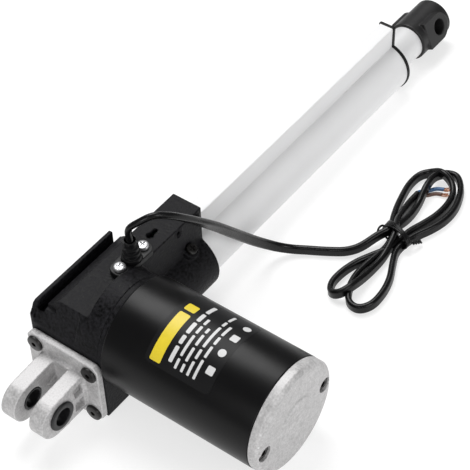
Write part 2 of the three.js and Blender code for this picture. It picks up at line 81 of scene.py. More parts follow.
STRIP = {"y": 9.2, "z": 41.2}
SOCKET = {"x0": 86.0, "x1": 126.3, "bore": 17.4, "r": 20.32}
LUG = {"x": 114.5, "angle": 62.0, "from": 18.0, "to": 23.0, "bore": 2.0, "r": 4.75}
DIMPLE = {"places": ((107.4, 37.4), (122.0, 37.8)), "pit_r": 1.35, "bore": 2.3, "r": 2.9, "proud": 0.35,
          "deep": 3.0}
KEYHOLE = {"x": 95.4, "r": 1.9, "slot": (95.6, 101.0), "half": 1.1, "deep": 3.0}
GLAND = {"x": 75.5, "y": -4.5, "top": 58.0, "screws": (66.3, 84.7), "screw_y": -4.3}
COVER = {"thick": 3.3, "end_r": 4.6, "half": 5.6, "bore": 5.25, "screw_r": 1.8}
BOOT = {"foot_r": 5.15, "foot": 3.4, "ribs": 3, "first": 4.0, "pitch": 3.3, "r": 5.35, "taper": 0.42,
        "groove": 1.35, "bore": 2.95}

MOTOR = {"x": 54.6, "z": 22.0, "r": 30.6, "y1": 114.2, "y2": 120.7}
NECK = {"from": 8.0, "to": 20.55, "bore": 22.0, "r": 28.22}
FLANGE = {"from": 20.65, "to": 23.85, "bore": 8.2, "r": 28.18}
CAN = {"from": 23.95, "bore": 28.6, "shaft_bore": 11.3, "wall": 2.45}
BELL = {"bearing_r": 5.6, "bearing": 3.4, "seat_r": 4.3, "seat": 2.4, "bolt_bore": 2.3, "boss_r": 12.3}
BOLT = {"circle": 24.6, "angles": (0.03, math.pi + 0.03), "r": 2.0, "long": 84.0}
MOTOR_BOLTS = [(MOTOR["x"] + BOLT["circle"] * math.cos(a), MOTOR["z"] + BOLT["circle"] * math.sin(a))
               for a in BOLT["angles"]]

TUBE = {"r": 16.65, "bore": 14.2, "x0": 84.0, "x1": 320.2, "key": 4.67, "top": 30.0}
CAP = {"proud": 0.7, "key": 5.4, "bore": 12.6, "x1": 322.2, "collar": 12.0}
WIPER = {"x0": 318.5, "x1": 323.0, "bore": 11.12, "r": 12.5}
ROD = {"r": 11.0, "bore": 8.6, "x0": 104.0, "x1": 346.45}
END = {"x0": 346.5, "x1": 378.0, "r": 12.6, "hole": 365.0, "turn": -24.7, "plug_r": 8.5, "plug": 332.0}
PAD = {"x0": 352.0, "half": 9.0, "face": 12.7}


def place(x=0.0, y=0.0, z=0.0, along="X"):
    """A frame in body millimetres whose local Z points along X, -X, Y, -Y or Z."""
    turns = {
        "X": ((0, 0, 1), (1, 0, 0), (0, 1, 0)),
        "-X": ((0, 0, -1), (-1, 0, 0), (0, 1, 0)),
        "Y": ((0, 1, 0), (0, 0, 1), (1, 0, 0)),
        "-Y": ((1, 0, 0), (0, 0, -1), (0, 1, 0)),
        "Z": ((1, 0, 0), (0, 1, 0), (0, 0, 1)),
    }
    return Matrix.Translation((x, y, z)) @ Matrix(turns[along]).to_4x4()


def lug_frame(side, height=0.0):
    """A frame on the axis of a socket screw, side 1 for the right one and -1 for the left."""
    lean = Matrix.Rotation(math.radians(side * (90 - LUG["angle"])), 4, "X")
    return lean @ place(LUG["x"], 0, height, "Z")


MOTOR_FRAME = place(MOTOR["x"], 0, MOTOR["z"], "-Y")
SIDE_VIEW = Matrix(((1, 0, 0, 0), (0, 0, 1, 0), (0, 1, 0, 0), (0, 0, 0, 1)))  # outlines in X and Z

# --------------------------------------------------------------------- camera
# The photo's camera: its place in metres, its right, and roughly its up.
EYE = Vector((-0.4827, -0.4108, 0.6011))
RIGHT = Vector((0.5983, -0.7869, -0.1512)).normalized()
ROUGHLY_UP = Vector((0.6088, 0.3238, 0.7242))
BACK = RIGHT.cross(ROUGHLY_UP).normalized()
UP = BACK.cross(RIGHT)
scene = bpy.context.scene
camera_data = bpy.data.cameras.new("camera")
camera_data.sensor_width = 36.0
camera_data.lens = 119.8
camera_data.shift_x = 0.0140
camera_data.shift_y = -0.0015
camera_data.clip_start = 0.05
camera = bpy.data.objects.new("camera", camera_data)
scene.collection.objects.link(camera)
camera.matrix_world = Matrix.Translation(EYE) @ Matrix((RIGHT, UP, BACK)).transposed().to_4x4()
scene.camera = camera

# ------------------------------------------------------------------ materials
NOISE_SPAN = (0.35, 0.65)  # where nearly all values of a noise texture lie
# Lightening convex edges here is a painted edge highlight, standing in for the light that rounded edges
# catch.
PAINTED_EDGE_HIGHLIGHT = {"start": 0.515, "end": 0.60, "shade": 2.2}  # start and end are pointiness
# Darkening hollow corners here is painted shade, standing in for the shadow that falls in recesses.
PAINTED_CORNER_SHADE = {"start": 0.485, "end": 0.40, "shade": 0.45}


def shaded(color, factor, lift=0.0):
    """A colour made lighter or darker, with its alpha."""
    return (*[min(1.0, c * factor + lift) for c in color], 1)


def surface(name, color, rough, mottle, grain, metallic=0.0, relief=0.00012, stretch=None,
            edge=0.0, corner_shading=0.0, spec=0.5, share=0.3):
    """A procedural finish: uneven colour and gloss, a fine grain, a painted highlight on convex edges and
    painted shade in hollow corners.

    rough is a middle value and its spread; mottle and grain are a strength and a scale; share
    is how much of the unevenness comes from the grain, and the rest comes from the mottle.
    """
    mat = bpy.data.materials.new(name)
    mat.use_nodes = True
    nodes, links = mat.node_tree.nodes, mat.node_tree.links

    def add(kind, inputs, **settings):
        """A new node; an input is a value or another node's output."""
        node = nodes.new(kind)
        for key, value in settings.items():
            setattr(node, key, value)
        for key, value in inputs.items():
            if isinstance(value, bpy.types.NodeSocket):
                links.new(value, node.inputs[key])
            else:
                node.inputs[key].default_value = value
        return node

    middle, spread = rough
    object_coords = add("ShaderNodeTexCoord", {}).outputs["Object"]
    coords = add("ShaderNodeMapping", {"Vector": object_coords, "Rotation": TURN_BACK}).outputs["Vector"]
    fine = coords
    if stretch:
        fine = add("ShaderNodeMapping", {"Vector": coords, "Scale": stretch}).outputs["Vector"]
    cloud = add("ShaderNodeTexNoise", {"Vector": coords, "Scale": mottle[1], "Detail": 5.0,
                                       "Roughness": 0.6}).outputs["Fac"]
    speck = add("ShaderNodeTexNoise", {"Vector": fine, "Scale": grain[1], "Detail": 3.0}).outputs["Fac"]
    both = add("ShaderNodeMix", {"A": cloud, "B": speck, "Factor": share},
               data_type="FLOAT").outputs["Result"]

    ramp = add("ShaderNodeValToRGB", {"Fac": both})
    for stop, position, factor in zip(ramp.color_ramp.elements, NOISE_SPAN, (1 - mottle[0], 1 + mottle[0])):
        stop.position = position
        stop.color = shaded(color, factor)
    tint = ramp.outputs["Color"]
    # Paints light and shade into the colour from pointiness: a highlight on convex edges and shade in hollow
    # corners.
    for amount, painted_light in ((edge, PAINTED_EDGE_HIGHLIGHT), (corner_shading, PAINTED_CORNER_SHADE)):
        if amount:
            bend = add("ShaderNodeNewGeometry", {}).outputs["Pointiness"]
            reach = add("ShaderNodeMapRange", {"Value": bend, "From Min": painted_light["start"],
                                               "From Max": painted_light["end"], "To Max": amount})
            tint = add("ShaderNodeMix", {"Factor": reach.outputs["Result"], "A": tint,
                                         "B": shaded(color, painted_light["shade"], 0.01)},
                       data_type="RGBA").outputs["Result"]

    gloss = add("ShaderNodeMapRange", {"Value": both, "From Min": NOISE_SPAN[0], "From Max": NOISE_SPAN[1],
                                       "To Min": middle - spread, "To Max": middle + spread})
    bump = add("ShaderNodeBump", {"Height": speck, "Strength": grain[0], "Distance": relief})
    shader = nodes["Principled BSDF"]
    shader.inputs["Metallic"].default_value = metallic
    shader.inputs["Specular IOR Level"].default_value = spec
    links.new(tint, shader.inputs["Base Color"])
    links.new(gloss.outputs["Result"], shader.inputs["Roughness"])
    links.new(bump.outputs["Normal"], shader.inputs["Normal"])
    return mat


LOOKS = {
    # the record's slots
    # In these finishes the edge value paints a highlight on convex edges, and the corner value paints shade
    # into hollow corners.
    "casting_black": dict(color=(0.0085, 0.0083, 0.0096), rough=(0.50, 0.14), mottle=(0.95, 90),
                          grain=(1.0, 650), relief=0.0003, corner_shading=0.4, spec=0.10, share=0.7),
    "can_black": dict(color=(0.0028, 0.0027, 0.0030), rough=(0.33, 0.03), mottle=(0.10, 45),
                      grain=(0.05, 1800), spec=0.17),
    "cast_alloy": dict(color=(0.50, 0.493, 0.494), metallic=0.30, rough=(0.52, 0.12), mottle=(0.26, 220),
                       grain=(0.8, 900), edge=0.4, corner_shading=0.9, share=0.6),
    "tube_anodised": dict(color=(0.83, 0.83, 0.835), metallic=0.10, rough=(0.6, 0.05), mottle=(0.02, 25),
                          grain=(0.06, 2600), stretch=(0.02, 1.0, 1.0)),
    "rod_steel": dict(color=(0.80, 0.80, 0.805), metallic=0.30, rough=(0.45, 0.05), mottle=(0.02, 40),
                      grain=(0.05, 3200), stretch=(1.0, 0.03, 0.03)),
    "plain_steel": dict(color=(0.56, 0.57, 0.58), metallic=0.95, rough=(0.30, 0.08), mottle=(0.08, 90),
                        grain=(0.12, 2400), edge=0.3),
    "zinc_screw": dict(color=(0.55, 0.55, 0.56), metallic=0.90, rough=(0.34, 0.07), mottle=(0.06, 150),
                       grain=(0.10, 2600), edge=0.2),
    "black_screw": dict(color=(0.009, 0.008, 0.0075), metallic=0.2, rough=(0.36, 0.10), mottle=(0.25, 200),
                        grain=(0.20, 2600), spec=0.4),
    "bush_black": dict(color=(0.008, 0.008, 0.009), metallic=0.1, rough=(0.38, 0.08), mottle=(0.16, 160),
                       grain=(0.10, 2600), edge=0.3, spec=0.4),
    "black_plastic": dict(color=(0.0055, 0.0055, 0.006), rough=(0.40, 0.06), mottle=(0.15, 120),
                          grain=(0.15, 2400), spec=0.2),
    "white_nylon": dict(color=(0.78, 0.76, 0.70), rough=(0.5, 0.06), mottle=(0.05, 90), grain=(0.1, 1800)),
    "bronze": dict(color=(0.60, 0.40, 0.20), metallic=0.9, rough=(0.38, 0.08), mottle=(0.12, 150),
                   grain=(0.15, 1800), edge=0.3),
    "ferrite": dict(color=(0.06, 0.06, 0.065), metallic=0.2, rough=(0.62, 0.08), mottle=(0.15, 120),
                    grain=(0.25, 1800)),
    "laminations": dict(color=(0.34, 0.34, 0.35), metallic=0.85, rough=(0.45, 0.08), mottle=(0.12, 120),
                        grain=(0.3, 2600), stretch=(0.05, 1.0, 0.05)),
    "copper": dict(color=(0.50, 0.27, 0.18), metallic=0.75, rough=(0.42, 0.08), mottle=(0.18, 260),
                   grain=(0.12, 1800)),
    "carbon": dict(color=(0.03, 0.03, 0.03), rough=(0.7, 0.06), mottle=(0.2, 200), grain=(0.25, 1800)),
    "board_green": dict(color=(0.03, 0.15, 0.07), rough=(0.35, 0.05), mottle=(0.1, 90), grain=(0.06, 1800)),
    "card_brown": dict(color=(0.2, 0.1, 0.05), rough=(0.55, 0.06), mottle=(0.15, 150), grain=(0.2, 1800)),
    "cord_black": dict(color=(0.0022, 0.0022, 0.0025), rough=(0.28, 0.06), mottle=(0.16, 120),
                       grain=(0.08, 1500), spec=0.25),
    "core_blue": dict(color=(0.04, 0.115, 0.25), rough=(0.36, 0.05), mottle=(0.10, 300),
                      grain=(0.05, 1800)),
    "core_brown": dict(color=(0.10, 0.045, 0.028), rough=(0.38, 0.05), mottle=(0.12, 300),
                       grain=(0.05, 1800)),
    # finishes of single pieces, and the floor
    "rod_end_black": dict(color=(0.012, 0.0117, 0.0122), metallic=0.1, rough=(0.46, 0.08), mottle=(0.2, 120),
                          grain=(0.2, 1500), edge=0.4, spec=0.42),
    "label_black": dict(color=(0.006, 0.006, 0.0065), rough=(0.42, 0.03), mottle=(0.06, 60),
                        grain=(0.03, 1800), spec=0.17),
    "label_yellow": dict(color=(0.72, 0.56, 0.02), rough=(0.45, 0.04), mottle=(0.05, 200),
                         grain=(0.03, 1800)),
    "label_white": dict(color=(0.62, 0.62, 0.62), rough=(0.45, 0.04), mottle=(0.04, 200),
                        grain=(0.03, 1800)),
    "floor_paper": dict(color=(0.38, 0.38, 0.38), rough=(0.85, 0.05), mottle=(0.01, 4), grain=(0.02, 400),
                        spec=0.1),
}
FINISH = {name: surface(name, **look) for name, look in LOOKS.items()}
floor_shader = FINISH["floor_paper"].node_tree.nodes["Principled BSDF"]
floor_shader.inputs["Emission Color"].default_value = (1, 1, 1, 1)
floor_shader.inputs["Emission Strength"].default_value = 0.68


# -------------------------------------------------------------- mesh helpers
def mesh_of(name, verts, faces):
    mesh = bpy.data.meshes.new(name)
    mesh.from_pydata([tuple(v) for v in verts], [], faces)
    tidy(mesh)
    return mesh


def tidy(mesh, weld=1e-5):
    """Welds doubles and turns the faces outwards."""
    bm = bmesh.new()
    bm.from_mesh(mesh)
    bmesh.ops.remove_doubles(bm, verts=bm.verts, dist=weld)
    bmesh.ops.recalc_face_normals(bm, faces=bm.faces)
    bm.to_mesh(mesh)
    bm.free()


def circle(r, n=160, x=0.0, y=0.0):
    return [(x + r * math.cos(2 * math.pi * k / n), y + r * math.sin(2 * math.pi * k / n)) for k in range(n)]


def soften(points, r=0.5, steps=4, closed=False):
    """Rounds the corners of an outline of (u, v) points with short curves, r long or less."""
    count = len(points)
    result = []
    for i, here in enumerate(points):
        if not closed and i in (0, count - 1):
            result.append(tuple(here))
            continue
        p = Vector(here)
        before = Vector(points[i - 1]) - p
        after = Vector(points[(i + 1) % count]) - p
        reach = min(r, before.length * 0.45, after.length * 0.45)
        a, b = p + before.normalized() * reach, p + after.normalized() * reach
        for k in range(steps + 1):
            t = k / steps
            result.append(tuple(a * (1 - t) ** 2 + p * 2 * t * (1 - t) + b * t ** 2))
    return result


def turned(profile, at, n=96, closed=False):
    """A turned mesh from (height, radius) points; a radius may be a function of the angle."""
    verts, rings, faces = [], [], []
    for height, radius in profile:
        if not callable(radius) and radius < 1e-6:
            rings.append([len(verts)])
            verts.append(at @ Vector((0, 0, height)))
            continue
        ring = []
        for i in range(n):
            a = 2 * math.pi * i / n
            r = radius(a) if callable(radius) else radius
            ring.append(len(verts))
            verts.append(at @ Vector((r * math.cos(a), r * math.sin(a), height)))
        rings.append(ring)
    following = rings[1:] + ([rings[0]] if closed else [])
    for p, q in zip(rings, following):
        for i in range(n):
            j = (i + 1) % n
            corners = [p[i % len(p)], p[j % len(p)], q[j % len(q)], q[i % len(q)]]
            face = list(dict.fromkeys(corners))
            if len(face) > 2:
                faces.append(face)
    return mesh_of("turned", verts, faces)


def ring_of(h0, h1, r0, r1, at, n=96, corner=0.4):
    """A turned ring of rectangular section with rounded corners."""
    outline = soften([(h0, r0), (h1, r0), (h1, r1), (h0, r1)], corner, closed=True)
    return turned(outline, at, n, closed=True)


def rod_of(h0, h1, r, at, n=96, corner=0.0):
    """A turned solid rod."""
    return turned(soften([(h0, 0), (h0, r), (h1, r), (h1, 0)], corner), at, n)


def slab(outlines, h0, h1, at, corner=0.35):
    """A plate from closed outlines, holes included, with rounded edges."""
    curve = bpy.data.curves.new("slab", "CURVE")
    curve.dimensions = "2D"
    curve.fill_mode = "BOTH"
    for outline in outlines:
        spline = curve.splines.new("POLY")
        spline.points.add(len(outline) - 1)
        for point, (u, v) in zip(spline.points, outline):
            point.co = (u, v, 0, 1)
        spline.use_cyclic_u = True
    curve.extrude = (h1 - h0) / 2 - corner
    curve.bevel_depth = corner
    curve.bevel_resolution = 2
    curve.offset = -corner
    mesh = evaluated(curve)
    bpy.data.curves.remove(curve)
    mesh.transform(at @ Matrix.Translation((0, 0, (h0 + h1) / 2)))
    tidy(mesh, 1e-3)
    return mesh


def block(x0, x1, y0, y1, z0, z1):
    """A box, used as a cutter or as a rib that is cast into its neighbours."""
    corners = [(x, y, z) for x in (x0, x1) for y in (y0, y1) for z in (z0, z1)]
    return mesh_of("block", corners, [(0, 1, 3, 2), (4, 6, 7, 5), (0, 4, 5, 1), (2, 3, 7, 6),
                                      (0, 2, 6, 4), (1, 5, 7, 3)])


def prism(outline, h0, h1, at):
    """An outline pushed along local Z, with sharp edges."""
    n = len(outline)
    verts = [at @ Vector((u, v, h)) for h in (h0, h1) for u, v in outline]
    sides = [(i, (i + 1) % n, n + (i + 1) % n, n + i) for i in range(n)]
    return mesh_of("prism", verts, sides + [tuple(range(n)), tuple(range(n, 2 * n))])


def evaluated(data, modifiers=()):
    """The mesh of a curve or mesh after modifiers, given as (type, settings)."""
    holder = bpy.data.objects.new("holder", data)
    scene.collection.objects.link(holder)
    for kind, settings in modifiers:
        modifier = holder.modifiers.new(kind.lower(), kind)
        for key, value in settings.items():
            setattr(modifier, key, value)
    depsgraph = bpy.context.evaluated_depsgraph_get()
    mesh = bpy.data.meshes.new_from_object(holder.evaluated_get(depsgraph))
    bpy.data.objects.remove(holder)
    return mesh


def joined(*meshes):
    bm = bmesh.new()
    for mesh in meshes:
        bm.from_mesh(mesh)
    result = bpy.data.meshes.new("joined")
    bm.to_mesh(result)
    bm.free()
    return result


def carved(mesh, *cutters):
    """The mesh less each cutter."""
    for cutter in cutters:
        tool = bpy.data.objects.new("cutter", cutter)
        scene.collection.objects.link(tool)
        mesh = evaluated(mesh, [("BOOLEAN", {"operation": "DIFFERENCE", "solver": "EXACT", "object": tool})])
        bpy.data.objects.remove(tool)
    return mesh


def cast(mesh, voxel, rounds=3):
    """Fuses overlapping solids into one skin with the soft edges of a casting."""
    return evaluated(mesh, [
        ("REMESH", {"mode": "VOXEL", "voxel_size": voxel, "adaptivity": 0.0}),
        ("SMOOTH", {"factor": 0.5, "iterations": rounds}),
    ])


def cad(node):
    """A copy of a CAD node's mesh in body millimetres."""
    mesh = frame["nodes"][node].data.copy()
    mesh.transform(BODY.inverted())
    mesh.materials.clear()
    return mesh


def piece(name, mesh, slot, *nodes, body="housing", finish=None, sharp=32.0, at=BODY):
    """Makes a finished piece: placed, shaded, and given its finish and its body, with the CAD nodes it
    stands for hidden.
    """
    mesh.transform(at)
    mesh.materials.clear()
    mesh.materials.append(FINISH[finish or slot])
    mesh.shade_smooth()
    if sharp:
        mesh.set_sharp_from_angle(angle=math.radians(sharp))
    obj = bpy.data.objects.new(name, mesh)
    mesh.name = name
    scene.collection.objects.link(obj)
    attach(obj, body)
    if nodes:
        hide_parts(*nodes)
    return obj


# ----------------------------------------------------------------------- cord
# A flat twin cable: out of the gland, down over the tube socket to the floor, then
# two loops to each side through one tie, and two bared cores. Its points are in the
# frame's millimetres. At a height of 3.2 it stands on its edge on the floor.
CORD = {"wide": 6.0, "thick": 3.6}
EXIT = BODY @ Vector((GLAND["x"], GLAND["y"], GLAND["top"] + 0.3)) / MM
RISE = EXIT + AZ * 7.0
RUN = [
    (-103, 31, 93), (-98, 26, 95), (-91, 22, 91), (-82, 20, 82.5), (-72, 20, 71.5), (-61, 21.5, 58.5),
    (-51, 23, 46), (-41, 24.5, 33.5), (-32, 25, 22.5), (-24, 24, 13.5), (-18, 21, 7.5), (-13, 15.5, 4.2),
    (-9, 8.5, 3.3), (-6, 1.5, 3.2), (-3, -5, 3.2), (0, -10.5, 3.2), (4.5, -15, 3.3), (9, -18, 4.2),
]
LOOPS = [
    # through the tie and round the right-hand outer loop
    (16, -21.5, 6.0), (23, -25.5, 7.0), (31, -27.5, 5.5), (41, -27.5, 3.6), (52, -26, 3.2),
    (63, -24.5, 6.7), (73, -24, 6.3), (80, -27, 3.8), (81.5, -32.5, 3.2), (75, -39.5, 3.2),
    (66, -44, 3.2), (56, -46.5, 3.2), (46, -46, 3.2), (37, -43, 3.2), (29, -39, 3.3),
    # back through the tie and round the left-hand wide loop
    (21, -36.5, 3.3), (13, -36, 3.2), (4, -39.5, 3.2), (-7, -44.5, 3.2), (-18, -46.8, 3.2),
    (-28, -46, 3.2), (-33, -41.5, 3.2), (-32, -35.5, 3.3), (-26.5, -31.0, 3.6), (-19, -28, 3.4),
    (-9, -26.8, 3.2), (3, -28.2, 3.2), (13, -29.5, 3.2),
    # the right-hand inner loop, first along its back
    (22, -27.5, 3.2), (30, -22.3, 3.2), (41, -17.8, 3.2), (53, -14.6, 3.2), (64, -12.8, 3.2),
    (73, -14.2, 3.3), (77, -19.5, 4.2), (76.5, -27, 7.2), (74, -34, 4.8), (67.5, -39, 3.3),
    (58, -41, 3.2), (48, -40.3, 3.2), (39, -37.6, 3.2), (30, -34.3, 3.3),
    # the left-hand narrow loop
    (21, -32.8, 3.3), (12, -31, 3.4), (4, -26.5, 3.4), (-5, -21.5, 3.3), (-15, -18.6, 3.2),
    (-24.5, -18.6, 3.2), (-30.5, -22.5, 3.6), (-30, -28.0, 5.6), (-23.5, -31.2, 6.6), (-14, -31.8, 4.6),
    (-4, -32, 3.4), (6, -32, 3.4), (14, -31.5, 5.6),
    # the end, inside the right-hand loops
    (23, -29.6, 7.4), (32, -25.0, 6.2), (41, -22.4, 3.8), (50, -21.4, 3.4), (58, -21.8, 3.6),
]
TAIL = Vector(LOOPS[-1])
CORES = {
    "blue": [TAIL + Vector((-3, 0.9, 1.1)), TAIL + Vector((1.5, 0.5, 0.6)), (63.5, -23.6, 2.4),
             (68.0, -27.4, 2.4), (69.6, -32.0, 2.6)],
    "brown": [TAIL + Vector((-3, 0.3, -1.1)), TAIL + Vector((1.5, -0.8, -1.5)), (62.0, -25.3, 1.4),
              (65.2, -28.6, 1.4), (66.2, -32.4, 1.6)],
}
CORE_R = 1.15
STRAND = {"r": 0.2, "count": 11, "root": 1.2, "root_r": 0.62, "long": (3.0, 4.6), "fan": (0.9, 1.9),
          "curl": (-0.4, 0.5)}
LEAN = Vector((-0.52, -0.53, 0.67))  # the direction of the cable's width at the gland
ON_EDGE = 0.216  # the share of its length after which its width stands upright
TIE = {"centre": Vector((22.5, -30.8, 0)), "across": Vector((0.25, 0.97, 0)).normalized(), "half_wide": 9.6,
       "half_high": 5.35, "middle": 6.2, "wander": 1.3, "wire_r": 0.62}
NEAR_UP = Vector((0.1, 0.2, 0.97))  # never along a wire, so it can set the wire's section
TIE_TURNS = ((0, -2.4), (0.6, -1.0), (1.2, 0.4), (2.0, 1.9))  # phase of the wander, place along the hank
TIE_END = {"across": -9.0, "from": Vector((1.0, -1.6, 5.2)), "to": Vector((6.5, -3.6, 2.6)), "r": 0.7,
           "half_turns": 3.5}
TIE_BOW = {"across": 9.2, "centre": Vector((-3.4, 0.6, 5.6)), "radii": (3.6, 1.2, 2.6),
           "half_turns": (0.15, 1.7)}


def spline_through(points, spacing=0.9):
    """Evenly spaced points on a centripetal Catmull-Rom curve through the given ones."""
    pts = [Vector(p) for p in points]
    pts = [2 * pts[0] - pts[1]] + pts + [2 * pts[-1] - pts[-2]]
    dense = []
    for p0, p1, p2, p3 in zip(pts, pts[1:], pts[2:], pts[3:]):
        knots = [0.0]
        for a, b in ((p0, p1), (p1, p2), (p2, p3)):
            knots.append(knots[-1] + max(1e-6, (b - a).length ** 0.5))
        t0, t1, t2, t3 = knots
        for k in range(24):
            t = t1 + (t2 - t1) * k / 24
            a1 = p0 * ((t1 - t) / (t1 - t0)) + p1 * ((t - t0) / (t1 - t0))
            a2 = p1 * ((t2 - t) / (t2 - t1)) + p2 * ((t - t1) / (t2 - t1))
            a3 = p2 * ((t3 - t) / (t3 - t2)) + p3 * ((t - t2) / (t3 - t2))
            b1 = a1 * ((t2 - t) / (t2 - t0)) + a2 * ((t - t0) / (t2 - t0))
            b2 = a2 * ((t3 - t) / (t3 - t1)) + a3 * ((t - t1) / (t3 - t1))
            dense.append(b1 * ((t2 - t) / (t2 - t1)) + b2 * ((t - t1) / (t2 - t1)))
    dense.append(pts[-2])
    result, travelled, target = [dense[0]], 0.0, spacing
    for a, b in zip(dense, dense[1:]):
        step = (b - a).length
        while travelled + step >= target:
            result.append(a.lerp(b, (target - travelled) / step))
            target += spacing
        travelled += step
    if (result[-1] - dense[-1]).length > spacing * 0.3:
        result.append(dense[-1])
    return result


def relaxed(points, rounds=6, held=3):
    """Evens out the bends, with both ends held."""
    pts = [p.copy() for p in points]
    for _ in range(rounds):
        pts = [p if i < held or i >= len(pts) - held else p * 0.5 + (pts[i - 1] + pts[i + 1]) * 0.25
               for i, p in enumerate(pts)]
    return pts


def swept(path, section, wide_at):
    """Sweeps a section of (across, wide) points along a path; wide_at gives the wide direction."""
    verts, faces = [], []
    count = len(section)
    for i, p in enumerate(path):
        along = (path[min(i + 1, len(path) - 1)] - path[max(i - 1, 0)]).normalized()
        wide = wide_at(i / (len(path) - 1))
        wide = (wide - along * wide.dot(along)).normalized()
        across = along.cross(wide)
        verts += [p + across * u + wide * v for u, v in section]
    for i in range(len(path) - 1):
        for k in range(count):
            m = (k + 1) % count
            faces.append((i * count + k, i * count + m, (i + 1) * count + m, (i + 1) * count + k))
    faces += [tuple(range(count)), tuple(range((len(path) - 1) * count, len(path) * count))]
    return mesh_of("swept", verts, faces)


def wire(line, r, sides, wide=NEAR_UP):
    """A round wire along a line."""
    return swept(line, circle(r, sides), lambda t: wide)


def twin_section(wide, thick, n=14):
    """Two round cores side by side with a shallow groove between them."""
    r = thick / 2
    off = wide / 2 - r
    points = []
    for sign, start in ((1, 0.0), (-1, math.pi)):
        for k in range(n + 1):
            a = (-0.42 * math.pi + 0.84 * math.pi * k / n) + start
            points.append((-r * math.sin(a), sign * off + r * math.cos(a)))
        points.append((-sign * r * 0.80, 0.0))
    return points


def cord_wide(t):
    """The direction of the cable's width at a share t of its length."""
    k = min(1.0, t / ON_EDGE)
    k = k * k * (3 - 2 * k)
    return LEAN.lerp(Vector((0, 0, 1)), k)


def tie_turn(phase, shift):
    """One turn of the tie round the waist of the hank, flatter underneath."""
    line = []
    for k in range(49):
        a = 2 * math.pi * k / 48
        rise = TIE["half_high"] * math.sin(a) * (0.92 if math.sin(a) < 0 else 1.0)
        drift = shift + TIE["wander"] * math.sin(a + phase)
        reach = TIE["half_wide"] * math.cos(a)
        line.append(TIE["centre"] + TIE["across"] * reach + Vector((drift, 0, TIE["middle"] + rise)))
    return line


def tie_end(phase):
    """One of the two ends, which are twisted together."""
    foot = TIE["centre"] + TIE["across"] * TIE_END["across"] + Vector((0.25, 0, 0))
    line = []
    for k in range(30):
        a = phase + k / 29 * TIE_END["half_turns"] * math.pi
        round_it = Vector((0, TIE_END["r"] * math.cos(a), TIE_END["r"] * math.sin(a)))
        line.append(foot + TIE_END["from"].lerp(TIE_END["to"], k / 29) + round_it)
    return line


def tie_bow():
    """The open bow on the far side."""
    centre = TIE["centre"] + TIE["across"] * TIE_BOW["across"] + TIE_BOW["centre"]
    rx, ry, rz = TIE_BOW["radii"]
    first, last = TIE_BOW["half_turns"]
    line = []
    for k in range(25):
        a = math.pi * (first + (last - first) * k / 24)
        line.append(centre + Vector((rx * math.cos(a), ry * math.sin(a), rz * math.sin(a))))
    return line


def cord_tie():
    """The tie: turns of black wire round the waist, a twisted pair of ends and a bow."""
    lines = [tie_turn(*turn) for turn in TIE_TURNS] + [tie_end(0.0), tie_end(math.pi), tie_bow()]
    mesh = joined(*[wire(line, TIE["wire_r"], 10, Vector((0.3, 0.2, 0.93))) for line in lines])
    return piece("cord_tie_wire", mesh, "cord_black", "cord_tie", sharp=50, at=METRES)


def bared_core(name, points):
    """An insulated core and the copper strands that fan out of its end."""
    line = spline_through(points, 0.5)
    core = piece(f"core_{name}", wire(line, CORE_R, 16), f"core_{name}", f"wire_{name}", sharp=50, at=METRES)
    end, heading = line[-1], (line[-1] - line[-4]).normalized()
    strands = []
    for k in range(STRAND["count"]):
        a = 2 * math.pi * k / STRAND["count"]
        spread = Vector((math.cos(a), math.sin(a), 0.35 * math.sin(2 * a)))
        start = end - heading * STRAND["root"] + spread * STRAND["root_r"]
        tip = end + heading * rng.uniform(*STRAND["long"]) + spread * rng.uniform(*STRAND["fan"])
        middle = start.lerp(tip, 0.5) + spread * rng.uniform(*STRAND["curl"])
        strands.append(wire(spline_through([start, middle, tip], 0.5), STRAND["r"], 6))
    return [core, piece(f"strands_{name}", joined(*strands), "copper", sharp=60, at=METRES)]


def cord():
    """The lead with its tie and its two bared cores."""
    route = relaxed(spline_through([EXIT, RISE] + RUN + LOOPS))
    mesh = swept(route, twin_section(CORD["wide"], CORD["thick"]), cord_wide)
    cable = piece("cord_cable", mesh, "cord_black", "cord", "cord_hank", sharp=50, at=METRES)
    pieces = [cord_tie()]
    for name, points in CORES.items():
        pieces += bared_core(name, points)


# ------------------------------------------------------------------- fasteners
def hexagon(across):
    """Radius as a function of the angle for a hexagonal recess."""
    def radius(a):
        k = (a % (math.pi / 3)) - math.pi / 6
        return across / 2 / math.cos(k)
    return radius


def cross_slot(reach, width):
    """Radius as a function of the angle for a cross recess."""
    def radius(a):
        k = abs(((a + math.pi / 4) % (math.pi / 2)) - math.pi / 4)
        return min(reach, width / 2 / max(math.sin(k), 1e-3)) if k > 1e-3 else reach
    return radius


def screw_head(at, turn, r, height, recess, depth, dome, shank, shank_r, n=96):
    """A pan head on a shank, its seat at local height 0, pointing along local Z."""
    profile = [
        (-shank, 0), (-shank, shank_r), (0, shank_r), (0, r - 0.15), (0.15, r),
        (height - dome, r), (height - dome * 0.35, r - dome * 0.28), (height - dome * 0.05, r - dome * 0.95),
        (height - HAIR, recess), (height - depth, recess), (height - depth - 0.35, 0),
    ]
    return turned(profile, at @ Matrix.Rotation(turn, 4, "Z"), n)


def clevis_bolts():
    for i, (y, z) in enumerate(CLEVIS_SCREWS):
        head = screw_head(place(PLATE_X - HAIR, y, z, "-X"), turn=0.3 + i, r=4.7, height=1.7,
                          recess=hexagon(2.7), depth=1.2, dome=0.8, shank=12.0, shank_r=2.4)
        piece(f"clevis_bolt_{i + 1}", head, "black_screw", f"clevis_screw_{i + 1}")


